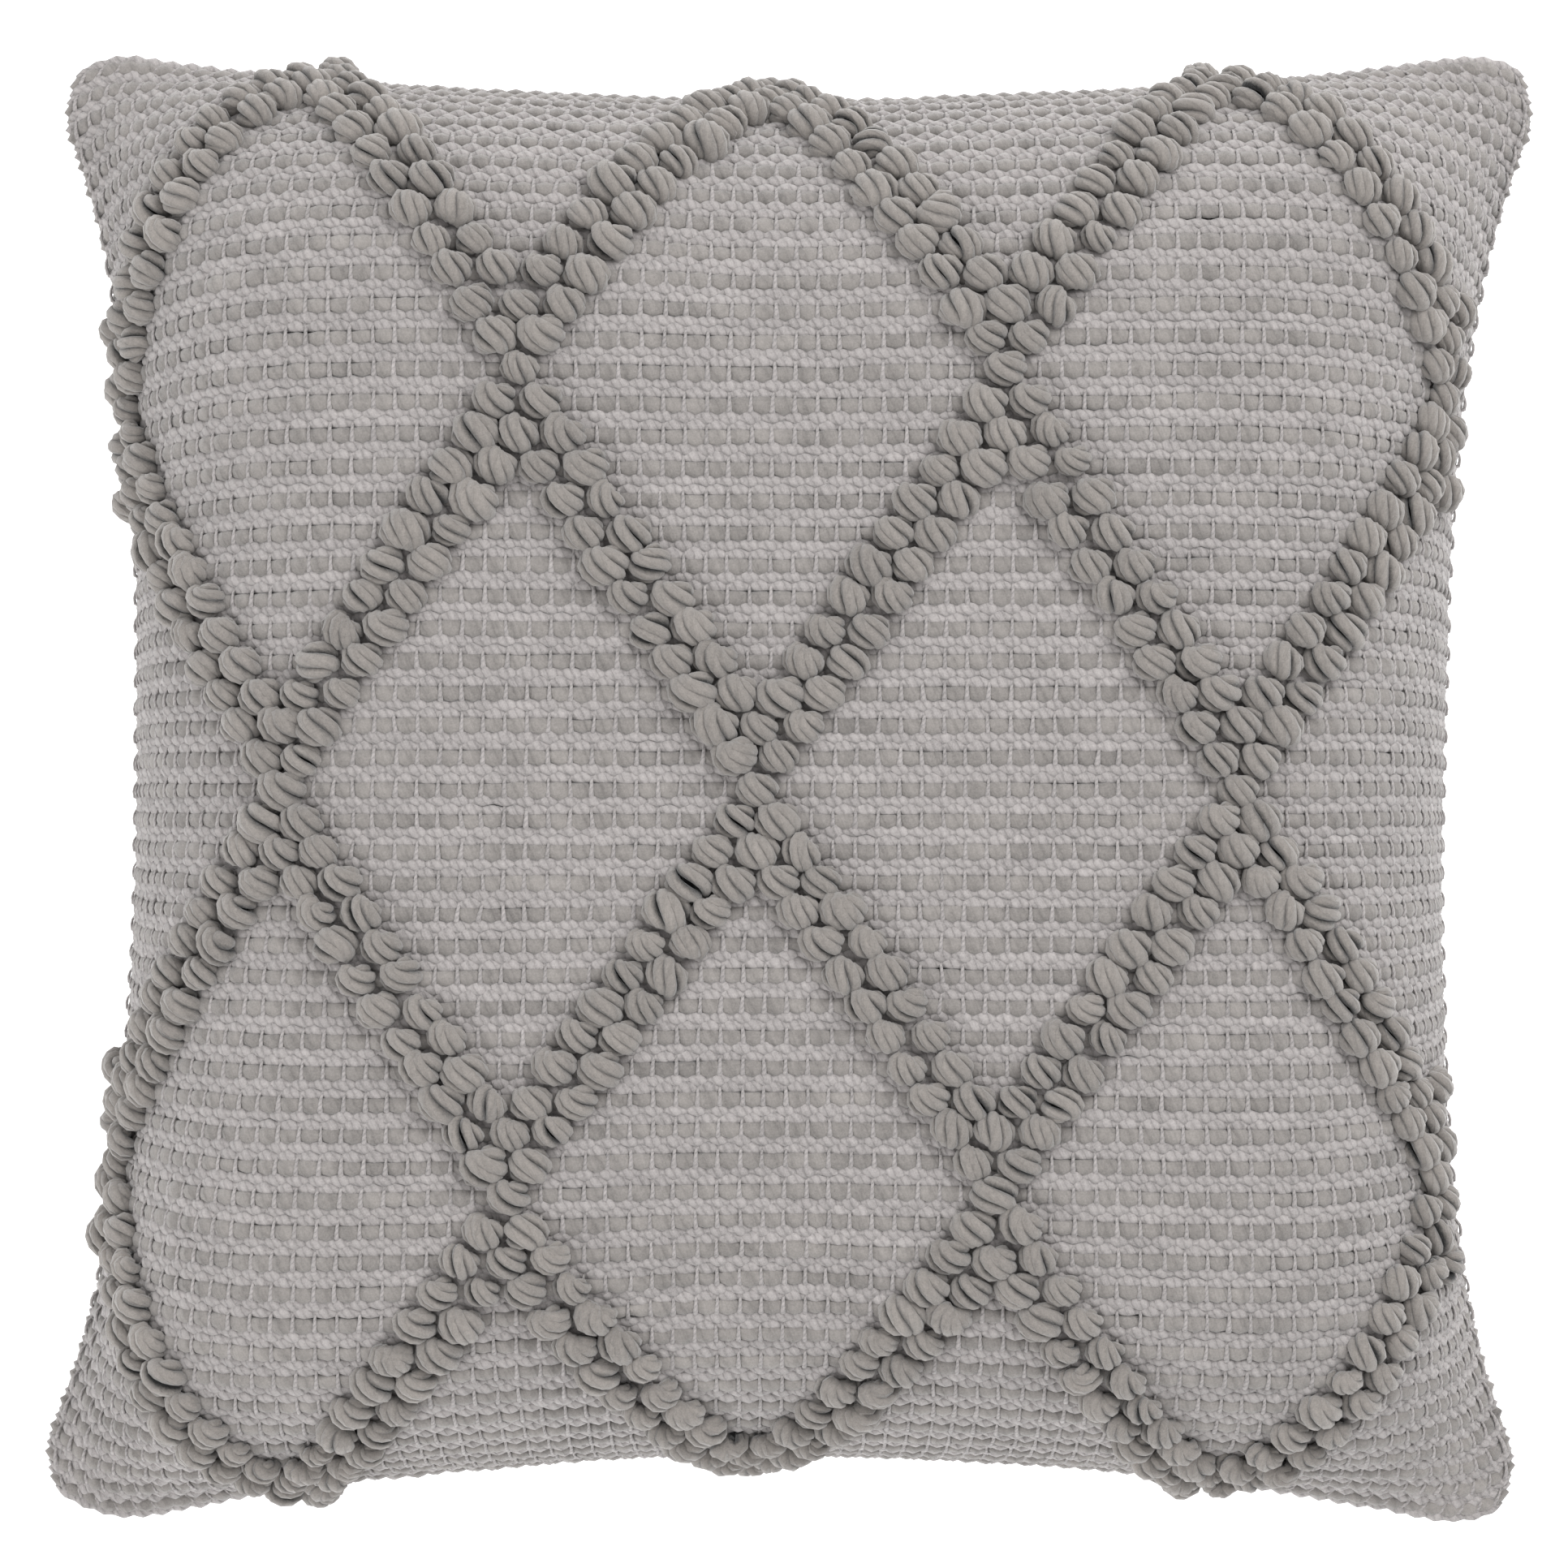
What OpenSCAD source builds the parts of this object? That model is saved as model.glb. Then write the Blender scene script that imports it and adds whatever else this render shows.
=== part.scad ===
// Square throw pillow: a looped, coarsely woven front cloth and a plain back cloth sewn into a
// knife-edge cover, a zipper set in the back along the bottom seam, and a fibre-filled insert.
// The pillow lies on its back: +Z is up through the face, +Y is the top edge of the face.

/* [Cover] */
// Corner-to-corner width along X
cover_w = 462; // [400:1:500]
// Corner-to-corner height along Y
cover_h = 462; // [400:1:500]
// Nominal flat width of the cloth between seams
cloth_w = 508; // [470:1:540]
// How far the left and right edges pull in at the middle
pull_side = 24; // [10:1:34]
// How far the top edge pulls in at the middle
pull_top = 13; // [6:1:30]
// How far the bottom edge pulls in at the middle
pull_bottom = 21; // [16:1:30]
// Set-back that blunts each corner
ear = 4; // [2:0.5:8]
// Set-back of the bottom edge at the lower left corner, which is the bluntest
low_ear = 9; // [4:0.5:16]
// Sideways lean of the top edge against the bottom edge
lean = 6.5; // [0:0.5:12]
// Thickness of the looped front cloth
front_t = 3; // [2:0.1:4]
// Thickness of the plain back cloth
back_t = 1.5; // [1:0.1:2]

/* [Crown] */
// Height of the face above the edge seam
crown_front = 80; // [60:1:95]
// Depth of the back below the edge seam, where it rests flat
crown_back = 71; // [50:1:80]
// Slope of the cloth where it leaves the seam, in degrees
seam_slope = 80; // [60:1:85]
// Distance along the rows over which the slope dies away
fade_x = 80; // [60:1:100]
// Distance along the columns over which the slope dies away
fade_y = 72; // [60:1:100]

/* [Loops] */
// Weft rows of the front cloth from the bottom seam to the top seam
cloth_rows = 53; // [53:1:53]
// Warp columns of the front cloth from the left seam to the right seam
cloth_cols = 75; // [71:2:79]
// Column of the trellis centre line, counted from the cloth's centre
trellis_shift = -1.5; // [-3.5:1:2.5]
// Radius of a loop, a little under half the spacing of the rows
loop_r = 4.3; // [3:0.1:4.3]
// Depth to which a loop is sunk in the front cloth
loop_sink = 1; // [0.5:0.1:1.5]

/* [Zipper] */
// Length of the row of teeth
zip_len = 326; // [200:2:340]
// Distance of the zipper below the bottom seam, along the cloth
zip_drop = 18; // [18:0.5:20]
// Radius of the arc along which the zipper is sewn
zip_r = 1600; // [1500:50:1800]
// Height of the window in the back cloth
window_h = 9.6; // [9.4:0.1:11]
// Width of each zipper tape
tape_w = 9.6; // [8:0.1:10]
// Thickness of each zipper tape
tape_t = 0.8; // [0.5:0.1:0.8]
// Spacing of the teeth in one row
tooth_pitch = 3.2; // [2.6:0.1:4]
// Length of the slider
slider_l = 11; // [10:0.5:12]
// Length of the pull tab
pull_l = 20; // [14:1:24]

/* [Insert] */
// Thickness of the insert's cover cloth
insert_t = 1; // [0.8:0.1:1.2]
// Gap between the insert's edge and the edge seam
insert_gap = 11; // [10.8:0.1:14]

/* [View] */
// Node to show

/* [Hidden] */

cloth_grey = [0.70, 0.68, 0.66];
loop_grey = [0.64, 0.62, 0.58];
lining_white = [0.93, 0.92, 0.90];
resin_grey = [0.60, 0.58, 0.55];
zip_metal = [0.55, 0.54, 0.52];

// Height of each cloth's rim above or below the plane of the seam
rim_lift = 1;
half_arc = cloth_w / 2;
seam_z = crown_back;
steps = 60;

// Slope of the cloth at fraction t from the centre (0) to the seam (1)
function slope(t, fade) = seam_slope * exp(-pow((1 - t) * half_arc / fade, 2));
function sum_cos(fade) = [for (i = 0, s = 0; i <= steps;
    s = s + cos(slope((i + 0.5) / steps, fade)), i = i + 1) s];
function sum_sin(fade) = [for (i = 0, s = 0; i <= steps;
    s = s + sin(slope((i + 0.5) / steps, fade)), i = i + 1) s];
// Plan distance and height of the section against distance along the cloth, both 0 to 1
function plan_table(fade) = let (s = sum_cos(fade)) [for (i = [0:steps]) [i / steps, s[i] / s[steps]]];
function rise_table(fade) = let (s = sum_sin(fade)) [for (i = [0:steps]) [i / steps, 1 - s[i] / s[steps]]];
plan_x = plan_table(fade_x);
plan_y = plan_table(fade_y);
rise_x = rise_table(fade_x);
rise_y = rise_table(fade_y);

function mix(a, b, t) = a + (b - a) * t;
// Share of the edge's pull at fraction t from its middle (0) to its corner (1)
function bow(t, power) = 1 - pow(min(1, abs(t) / edge_reach), power);
edge_reach = 0.92;
function blunt(t, size) = size * pow(max(0, 1 - 60 * (1 - abs(t)) / size), 2);
function half_w(v) = cover_w / 2 - pull_side * bow(v, 3) - blunt(v, ear);
function half_h(u, v) = cover_h / 2 - (v > 0 ? pull_top : pull_bottom) * bow(u, 2)
    - blunt(u, u < 0 && v < 0 ? low_ear : ear);

// Point of a layer of the pillow. u and v run from -1 to 1 along the cloth; the layer lies
// plan_in inside the outer surface at the seam and crown_in inside it at the crown, and its rim
// stands lift above or below the plane of the seam.
function layer_point(u, v, side, plan_in, crown_in, lift) =
    let (fx = lookup(abs(u), rise_x),
         fy = lookup(abs(v), rise_y),
         y = (half_h(u, v) - plan_in) * sign(v) * mix(abs(v), lookup(abs(v), plan_y), fx),
         x = (half_w(v) - plan_in) * sign(u) * mix(abs(u), lookup(abs(u), plan_x), fy),
         h = lift + (crown_front - crown_in - lift) * fx * fy)
    [x + lean / 2 * y / (cover_h / 2), y,
     side > 0 ? seam_z + h : seam_z - min(h, crown_back - crown_in)];

function layer(us, vs, side, plan_in, crown_in, lift) =
    [for (v = vs) for (u = us) layer_point(u, v, side, plan_in, crown_in, lift)];

function even(n) = [for (i = [0:n]) -1 + 2 * i / n];

// Boundary of the grid cells i0..i1 by j0..j1 as a closed loop, anticlockwise from above
function rim(nu, i0, i1, j0, j1) = concat(
    [for (i = [i0:i1 - 1]) j0 * nu + i],
    [for (j = [j0:j1 - 1]) j * nu + i1],
    [for (i = [i1:-1:i0 + 1]) j1 * nu + i],
    [for (j = [j1:-1:j0 + 1]) j * nu + i0]);

function wall(path, n) = [for (k = [0:len(path) - 1])
    let (p = path[k], q = path[(k + 1) % len(path)])
    each [[p, q, n + q], [p, n + q, n + p]]];

function back_to_front(list) = [for (k = [len(list) - 1:-1:0]) list[k]];

// Closed solid between an upper and a lower layer on the same grid, with an optional hole
// [i0, i1, j0, j1] through both
module skin(upper, lower, nu, nv, hole = []) {
    n = nu * nv;
    cells = [for (j = [0:nv - 2]) for (i = [0:nu - 2])
        if (len(hole) == 0 || i < hole[0] || i >= hole[1] || j < hole[2] || j >= hole[3]) j * nu + i];
    top = [for (p = cells) each [[p, p + nu, p + nu + 1], [p, p + nu + 1, p + 1]]];
    bottom = [for (f = top) [f[0] + n, f[2] + n, f[1] + n]];
    edge = wall(rim(nu, 0, nu - 1, 0, nv - 1), n);
    inside = len(hole) == 0 ? [] : wall(back_to_front(rim(nu, hole[0], hole[1], hole[2], hole[3])), n);
    polyhedron(points = concat(upper, lower), faces = concat(top, bottom, edge, inside), convexity = 10);
}

module front_panel() {
    us = even(32);
    color(cloth_grey)
        skin(layer(us, us, 1, 0, 0, rim_lift), layer(us, us, 1, front_t, front_t, 0), len(us), len(us));
}

// The back cloth is sewn round the zipper window, just below the bottom seam
window_u = (zip_len / 2 + 1) / (cover_w / 2);
window_top = zip_drop - window_h / 2;
window_bottom = zip_drop + window_h / 2;
back_us = concat([for (i = [0:4]) mix(-1, -window_u, i / 4)],
    [for (i = [1:19]) mix(-window_u, window_u, i / 20)],
    [for (i = [0:4]) mix(window_u, 1, i / 4)]);
back_vs = concat([for (j = [0:3]) -1 + window_top / half_arc * j / 3],
    [-1 + window_bottom / half_arc],
    [for (j = [0:23]) mix(-1 + (window_bottom + 9) / half_arc, 1, j / 23)]);

// Share by which the back cloth is held to the zipper, at distance s along it and y above it
function ease(t) = let (c = max(0, min(1, t))) c * c * (3 - 2 * c);
function zip_hold(s, y) = ease((zip_len / 2 + 50 - abs(s)) / 36)
    * (y > 0 ? ease((zip_drop - y) / 8) : ease((38 + y) / 28));

// Point of the back cloth, which lies flat along the zipper and eases into its own shape round it
function back_point(u, v, depth, lift) =
    let (p = layer_point(u, v, -1, depth, depth, lift),
         s = p[0] - zip_axis[0],
         y = zip_drop - (v + 1) * half_arc)
    mix(p, zip_point(s, y, depth - tape_in), zip_hold(s, y));

function back_layer(depth, lift) = [for (v = back_vs) for (u = back_us) back_point(u, v, depth, lift)];

module back_panel() {
    color(cloth_grey)
        skin(back_layer(back_t, 0), back_layer(0, rim_lift), len(back_us), len(back_vs), [4, 24, 3, 4]);
}

// Path along edge k of the seam, anticlockwise from the bottom edge, through the places ts
function edge_path(k, ts) = [for (t = ts)
    k == 0 ? [t, -1] : k == 1 ? [1, t] : k == 2 ? [-t, 1] : [-1, -t]];

// Band along a path of the seam, between two insets and two heights
module seam_band(path, in0, in1, z0, z1, closed = false) {
    m = len(path);
    outer = [for (p = path) layer_point(p[0], p[1], 1, in0, 0, 0)];
    inner = [for (p = path) layer_point(p[0], p[1], 1, in1, 0, 0)];
    pts = concat([for (p = outer) [p[0], p[1], z1]], [for (p = inner) [p[0], p[1], z1]],
        [for (p = inner) [p[0], p[1], z0]], [for (p = outer) [p[0], p[1], z0]]);
    sides = [for (s = [0:3]) for (k = [0:closed ? m - 1 : m - 2])
        let (a = s * m, b = (s + 1) % 4 * m, k2 = (k + 1) % m)
        each [[a + k, b + k, b + k2], [a + k, b + k2, a + k2]]];
    ends = closed ? [] : [[3 * m, 2 * m, m, 0], [m - 1, 2 * m - 1, 3 * m - 1, 4 * m - 1]];
    polyhedron(points = pts, faces = concat(sides, ends), convexity = 10);
}

// The allowance is trimmed away short of the corners
allowance_ts = even(16) * 0.8;

module seam_allowance() {
    color(cloth_grey)
        for (k = [0:3])
            seam_band(edge_path(k, allowance_ts), front_t + 1.4, insert_gap - 1.7, seam_z - 0.9, seam_z + 0.9);
}

module seam_thread() {
    color(lining_white)
        for (k = [0:3])
            seam_band(edge_path(k, allowance_ts), front_t + 2, front_t + 2.5, seam_z + 1, seam_z + 1.5);
}

// Trellis of loops. A line swings from its apex column to half_period columns off it and back,
// one column for each row, with a straight row on each side of every crossing.
half_period = 11;
row_period = 26;
row_pitch = cloth_w / cloth_rows;
function swing(r) = let (k = abs(r - row_period * round(r / row_period)))
    min(half_period, max(0, k - 1));

// Loop columns of one line in row r: two side by side, or one in the row of a crossing. Where
// two lines meet, the right-hand one gives way to the left-hand one.
function loop_cols(m, s, r) =
    let (d = swing(r),
         c = (cloth_cols - 1) / 2 + trellis_shift + 2 * half_period * m + s * d,
         meet = s > 0 ? d : half_period - d)
    meet == 0 ? [] : r % (row_period / 2) == 0 ? [c] : meet == 1 ? [c + 1] : [c - 1, c + 1];

function face_point(u, v) = layer_point(u, v, 1, 0, 0, rim_lift);

// Places a child on the front cloth at a column and a row, with Z along the cloth's normal
module on_front(col, row) {
    u = 2 * (col + 0.5) / cloth_cols - 1;
    v = 1 - 2 * (row + 0.5) / cloth_rows;
    d = 0.004;
    p = face_point(u, v);
    tu = face_point(u + d, v) - face_point(u - d, v);
    tv = face_point(u, v + d) - face_point(u, v - d);
    ex = tu / norm(tu);
    nz = cross(tu, tv);
    ez = nz / norm(nz);
    ey = cross(ez, ex);
    multmatrix([[ex[0], ey[0], ez[0], p[0]], [ex[1], ey[1], ez[1], p[1]],
        [ex[2], ey[2], ez[2], p[2]], [0, 0, 0, 1]]) children();
}

module loop() {
    translate([0, 0, loop_r - loop_sink]) sphere(r = loop_r, $fn = 32);
}

module loop_line(m, s) {
    color(loop_grey)
        for (r = [0:cloth_rows - 1])
            for (c = loop_cols(m, s, r))
                if (c > 1 && c < cloth_cols - 5) on_front(c, r) loop();
}

// The zipper follows the bottom edge along an arc about a distant upright axis
zip_v = -1 + zip_drop / half_arc;
zip_mid = layer_point(0, zip_v, -1, 0, 0, rim_lift);
zip_up = layer_point(0, zip_v - 0.02, -1, 0, 0, rim_lift) - layer_point(0, zip_v + 0.02, -1, 0, 0, rim_lift);
zip_tilt = atan2(-zip_up[1], zip_up[2]);
// Middle of the tapes, 3 mm inside the outer surface of the back cloth
tape_in = 3;
zip_axis = [zip_mid[0], zip_mid[1] + tape_in * cos(zip_tilt) - zip_r];
zip_z = zip_mid[2] + tape_in * sin(zip_tilt);
function arc_deg(s) = s / zip_r * 180 / PI;

// Point at distance s along the zipper, y above it and inward of the tapes
function zip_point(s, y, inward) =
    let (r = zip_r + inward * cos(zip_tilt) - y * sin(zip_tilt))
    [zip_axis[0] + r * sin(arc_deg(s)), zip_axis[1] + r * cos(arc_deg(s)),
        zip_z + inward * sin(zip_tilt) + y * cos(zip_tilt)];

// Places a child at distance s along the zipper: X along it, Y inwards, Z across it, upwards
module at_zip(s) {
    translate([zip_axis[0], zip_axis[1], 0]) rotate([0, 0, -arc_deg(s)])
        translate([0, zip_r, zip_z]) rotate([zip_tilt, 0, 0]) children();
}

// Sweeps a section (X inwards, Y across) along the zipper from s0 to s1
module zip_sweep(s0, s1) {
    translate([zip_axis[0], zip_axis[1], 0]) rotate([0, 0, 90 - arc_deg(s1)])
        rotate_extrude(angle = arc_deg(s1 - s0), $fn = 720)
            translate([zip_r, zip_z]) rotate(zip_tilt) children();
}

tooth_out = 3.2;
tooth_in = 0.8;
tooth_t = 2;

module zip_tape(side) {
    y0 = side > 0 ? tooth_out : -tooth_out - tape_w;
    color(cloth_grey) zip_sweep(-zip_len / 2 - 10, zip_len / 2 + 10)
        translate([-tape_t / 2, y0]) square([tape_t, tape_w]);
}

module zip_tape_upper() { zip_tape(1); }

module zip_tape_lower() { zip_tape(-1); }

module tooth(side) {
    rotate([90, 0, 0]) translate([0, 0, -tooth_t / 2]) linear_extrude(tooth_t)
        polygon([for (p = [[-0.8, tooth_out], [-0.8, 2.3], [-0.45, 1.8], [-0.75, 1.3], [-0.5, tooth_in],
            [0.5, tooth_in], [0.75, 1.3], [0.45, 1.8], [0.8, 2.3], [0.8, tooth_out]]) [p[0], side * p[1]]]);
}

module zip_teeth(side) {
    n = floor((zip_len - 4) / tooth_pitch);
    color(resin_grey)
        for (i = [0:n - 1])
            at_zip((i - (n - 1) / 2) * tooth_pitch + side * tooth_pitch / 4) tooth(side);
}

module zip_teeth_upper() { zip_teeth(1); }

module zip_teeth_lower() { zip_teeth(-1); }

module zip_top_stops() {
    color(zip_metal)
        for (side = [-1, 1])
            at_zip(zip_len / 2 + 2)
                translate([-1, -1.2, side > 0 ? tooth_in : -tooth_out]) cube([2, 2.4, tooth_out - tooth_in]);
}

module zip_bottom_stop() {
    color(zip_metal) at_zip(-zip_len / 2 - 1)
        translate([-1.5, -1.2, -tooth_out]) cube([3, 2.4, 2 * tooth_out]);
}

// Two lines of stitches hold the back cloth to the tapes
module zip_stitches() {
    stitch_pitch = 5;
    n = floor((zip_len + 8) / stitch_pitch);
    color(lining_white)
        for (side = [-1, 1])
            for (i = [0:n - 1])
                at_zip((i - (n - 1) / 2) * stitch_pitch)
                    translate([-1.6, -tape_in - 0.5, side * 8 - 0.25]) cube([3.2, 0.4, 0.5]);
}

// Slider: two plates joined by a thin neck at the front, edge flanges that leave a slot for
// each tape, and a bail on the outer plate that holds the pull
slider_w = 8.4;
plate_in = 1.6;
plate_t = 1;
slider_gap = 0.5;
rest_s = zip_len / 2 + 1 - slider_gap - slider_l / 2;

module slider_plate(side) {
    translate([0, side * (plate_in + plate_t / 2), 0]) {
        rotate([90, 0, 0]) translate([0, 0, -plate_t / 2]) linear_extrude(plate_t) polygon([
            [-slider_l / 2, -slider_w / 2 + 1], [-slider_l / 2 + 1, -slider_w / 2],
            [slider_l / 2 - 2, -slider_w / 2], [slider_l / 2, -slider_w / 2 + 2],
            [slider_l / 2, slider_w / 2 - 2], [slider_l / 2 - 2, slider_w / 2],
            [-slider_l / 2 + 1, slider_w / 2], [-slider_l / 2, slider_w / 2 - 1]]);
    }
    for (edge = [-1, 1])
        translate([-slider_l / 2 + 1, side > 0 ? 0.8 : -plate_in - 0.1, edge > 0 ? slider_w / 2 - 0.6 : -slider_w / 2])
            cube([slider_l - 3, plate_in - 0.7, 0.6]);
}

bail_l = 7;
bail_w = 1.8;
bail_t = 0.7;
bail_gap = 1.8;
bail_y = -plate_in - plate_t;

module slider_body() {
    color(zip_metal) at_zip(rest_s) union() {
        slider_plate(1);
        slider_plate(-1);
        translate([slider_l / 2 - 2.6, -plate_in - 0.2, -0.45]) cube([2.4, 2 * plate_in + 0.4, 0.9]);
        for (end = [-1, 1])
            translate([end > 0 ? bail_l / 2 - bail_t : -bail_l / 2, bail_y - bail_gap - 0.1, -bail_w / 2])
                cube([bail_t, bail_gap + 0.3, bail_w]);
        translate([-bail_l / 2, bail_y - bail_gap - bail_t, -bail_w / 2]) cube([bail_l, bail_t, bail_w]);
    }
}

// Pull: a cross bar under the bail, two arms and a flat tab with a hole
pull_w = 6;
pull_t = 0.8;
// The arms and the tab sit outward of the bar's axis, clear of the cloth
pull_out = 0.3;
bar_r = 0.6;
pull_y = bail_y - bail_gap / 2;

module slider_pull() {
    color(zip_metal) at_zip(rest_s) translate([0, pull_y, 0]) {
        translate([0, 0, -pull_w / 2]) cylinder(r = bar_r, h = pull_w, $fn = 24);
        for (side = [-1, 1])
            translate([-7, -pull_t / 2 - pull_out, side > 0 ? pull_w / 2 - 1.4 : -pull_w / 2]) cube([7, pull_t, 1.4]);
        difference() {
            translate([-pull_l, -pull_t / 2 - pull_out, -pull_w / 2]) cube([pull_l - 6, pull_t, pull_w]);
            translate([-pull_l + 4.5, pull_t, 0]) rotate([90, 0, 0]) cylinder(r = 1.6, h = 3 * pull_t, $fn = 24);
        }
    }
}

// Grid lines of the insert. The fibre stops at the last of them, a little short of the rim.
fibre_us = concat([-0.97], [for (i = [-8:8]) i / 9], [0.97]);
insert_us = concat([-1], fibre_us, [1]);

module insert_cover(side, cloth_t) {
    us = insert_us;
    outer = layer(us, us, side, insert_gap, cloth_t + 1.2, 0.7);
    inner = layer(us, us, side, insert_gap + insert_t, cloth_t + 1.2 + insert_t, 0);
    color(lining_white) skin(side > 0 ? outer : inner, side > 0 ? inner : outer, len(us), len(us));
}

module insert_cover_front() { insert_cover(1, front_t); }

module insert_cover_back() { insert_cover(-1, back_t); }

module insert_thread() {
    ring = [for (k = [0:3]) for (i = [0:len(insert_us) - 2]) edge_path(k, insert_us)[i]];
    color(lining_white)
        seam_band(ring, insert_gap - 1.2, insert_gap - 0.6, seam_z - 0.4, seam_z + 0.4, closed = true);
}

module fibre_fill() {
    us = fibre_us;
    gap = insert_gap + insert_t + 0.5;
    upper = [for (p = layer(us, us, 1, gap, front_t + insert_t + 2.2, 0)) p - [0, 0, 0.2]];
    lower = [for (p = layer(us, us, -1, gap, back_t + insert_t + 2.2, 0)) p + [0, 0, 0.2]];
    color(lining_white) skin(upper, lower, len(us), len(us));
}

front_panel();
back_panel();
seam_allowance();
seam_thread();
loop_line(-2, 1);  // loop_line_1
loop_line(-1, -1);  // loop_line_2
loop_line(-1, 1);  // loop_line_3
loop_line(0, -1);  // loop_line_4
loop_line(0, 1);  // loop_line_5
loop_line(1, -1);  // loop_line_6
loop_line(1, 1);  // loop_line_7
loop_line(2, -1);  // loop_line_8
zip_tape_upper();
zip_tape_lower();
zip_teeth_upper();
zip_teeth_lower();
zip_top_stops();
zip_bottom_stop();
zip_stitches();
slider_body();
slider_pull();
insert_cover_front();
insert_cover_back();
insert_thread();
fibre_fill();
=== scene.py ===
"""Square throw pillow with a coarse woven face and a raised looped trellis.

The cloth is built yarn by yarn. A point of the cloth is named by its column, counted in warp
columns from the left seam, and its row, counted in weft rows from the top seam. Lengths are in
millimetres until a mesh is made.
"""

import math

import bpy
import numpy as np
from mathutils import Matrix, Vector


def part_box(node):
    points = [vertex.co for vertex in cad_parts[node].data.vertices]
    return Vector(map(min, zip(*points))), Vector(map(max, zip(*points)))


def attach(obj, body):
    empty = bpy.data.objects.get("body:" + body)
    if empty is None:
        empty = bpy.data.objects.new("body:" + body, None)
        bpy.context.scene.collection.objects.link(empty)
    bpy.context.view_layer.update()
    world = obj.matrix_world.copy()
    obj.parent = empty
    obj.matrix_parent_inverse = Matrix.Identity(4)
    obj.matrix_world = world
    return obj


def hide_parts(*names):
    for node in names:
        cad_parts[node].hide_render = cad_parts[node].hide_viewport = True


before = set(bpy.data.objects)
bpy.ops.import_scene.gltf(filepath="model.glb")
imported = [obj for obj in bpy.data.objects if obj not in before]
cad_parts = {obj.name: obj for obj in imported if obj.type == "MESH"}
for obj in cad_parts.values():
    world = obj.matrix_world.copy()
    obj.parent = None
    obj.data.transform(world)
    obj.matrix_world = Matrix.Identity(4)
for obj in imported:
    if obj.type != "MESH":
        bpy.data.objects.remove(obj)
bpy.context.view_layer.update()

MM = 0.001
SEED = 20

# Shape of the stuffed cover, the same rule as the CAD model's cloth
COVER_W = 462.0
COVER_H = 462.0
CLOTH_W = 508.0
PULL_SIDE = 24.0
PULL_TOP = 13.0
PULL_BOTTOM = 21.0
EDGE_REACH = 0.92
EAR = 4.0
LOW_EAR = 9.0
CORNER_FALL = 60.0
LEAN = 6.5
CROWN = 80.0
SEAM_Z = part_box("back_panel")[1].z / MM
SEAM_SLOPE = 80.0
FADE_X = 80.0
FADE_Y = 72.0
RIM_LIFT = 1.0
GATHER = 1.1
FAN = 1.8
STEPS = 240

# The weave and its trellis
ROWS = 53
COLS = 75
TRELLIS_SHIFT = -1.5
HALF_PERIOD = 11
ROW_PERIOD = 26

# The zipper window in the back cloth, along the cloth from the bottom seam
ZIP_LEN = 326.0
ZIP_DROP = 18.0
ZIP_R = 1600.0
TAPE_IN = 3.0
WINDOW_U = (ZIP_LEN / 2 + 1) / (COVER_W / 2)
WINDOW_TOP = ZIP_DROP - 4.8
WINDOW_BOTTOM = ZIP_DROP + 4.8

# Where the back cloth comes away from the zipper: past its ends, above it and below it
END_REACH = 50.0
END_FADE = 36.0
TOP_FADE = 8.0
LOW_REACH = 38.0
LOW_FADE = 28.0

# Cells of the back cloth's mesh before, across and after the window
BACK_CELLS_X = (28, 160, 28)
BACK_CELLS_Y = (6, 3, 202)

# Colours, linear
LIGHT_YARN = (0.290, 0.270, 0.265)
CORD_YARN = (0.206, 0.191, 0.180)
LOOP_YARN = (0.205, 0.187, 0.172)
BACK_CLOTH = (0.275, 0.257, 0.245)


# ---------------------------------------------------------------- the stuffed shape

def section(fade):
    """Plan distance and height of a section against distance along the cloth, all 0 to 1."""
    t = (np.arange(STEPS) + 0.5) / STEPS
    slope = np.radians(SEAM_SLOPE) * np.exp(-(((1 - t) * CLOTH_W / 2 / fade) ** 2))
    plan = np.concatenate([[0], np.cumsum(np.cos(slope))])
    rise = np.concatenate([[0], np.cumsum(np.sin(slope))])
    return plan / plan[-1], 1 - rise / rise[-1]


KNOTS = np.linspace(0, 1, STEPS + 1)
PLAN_X, RISE_X = section(FADE_X)
PLAN_Y, RISE_Y = section(FADE_Y)


def bow(t, power):
    """Share of the inward pull on an edge: all of it in the middle, none by the corners."""
    return 1 - np.minimum(1, np.abs(t) / EDGE_REACH) ** power


def blunt(t, size):
    """Set-back of an edge as it comes to a corner, which makes the corner blunt."""
    return size * np.maximum(0, 1 - CORNER_FALL * (1 - np.abs(t)) / size) ** 2


def mix(a, b, t):
    return a + (b - a) * t


def layer(u, v, side, inset=0.0, crown_in=0.0, lift=RIM_LIFT):
    """Points of one layer of the pillow, u and v from -1 to 1 along the cloth."""
    u, v = np.broadcast_arrays(u, v)
    fx = np.interp(np.abs(u), KNOTS, RISE_X)
    fy = np.interp(np.abs(v), KNOTS, RISE_Y)
    corner = blunt(u, np.where((u < 0) & (v < 0), LOW_EAR, EAR))
    half_h = COVER_H / 2 - np.where(v > 0, PULL_TOP, PULL_BOTTOM) * bow(u, 2) - corner - inset
    half_w = COVER_W / 2 - PULL_SIDE * bow(v, 3) - blunt(v, EAR) - inset
    y = half_h * np.sign(v) * mix(np.abs(v), np.interp(np.abs(v), KNOTS, PLAN_Y), fx)
    x = half_w * np.sign(u) * mix(np.abs(u), np.interp(np.abs(u), KNOTS, PLAN_X), fy)
    h = lift + (CROWN - crown_in - lift) * fx * fy
    z = SEAM_Z + h if side > 0 else SEAM_Z - np.minimum(h, SEAM_Z - crown_in)
    return np.stack([x + LEAN / 2 * y / (COVER_H / 2), y, z], -1)


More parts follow.
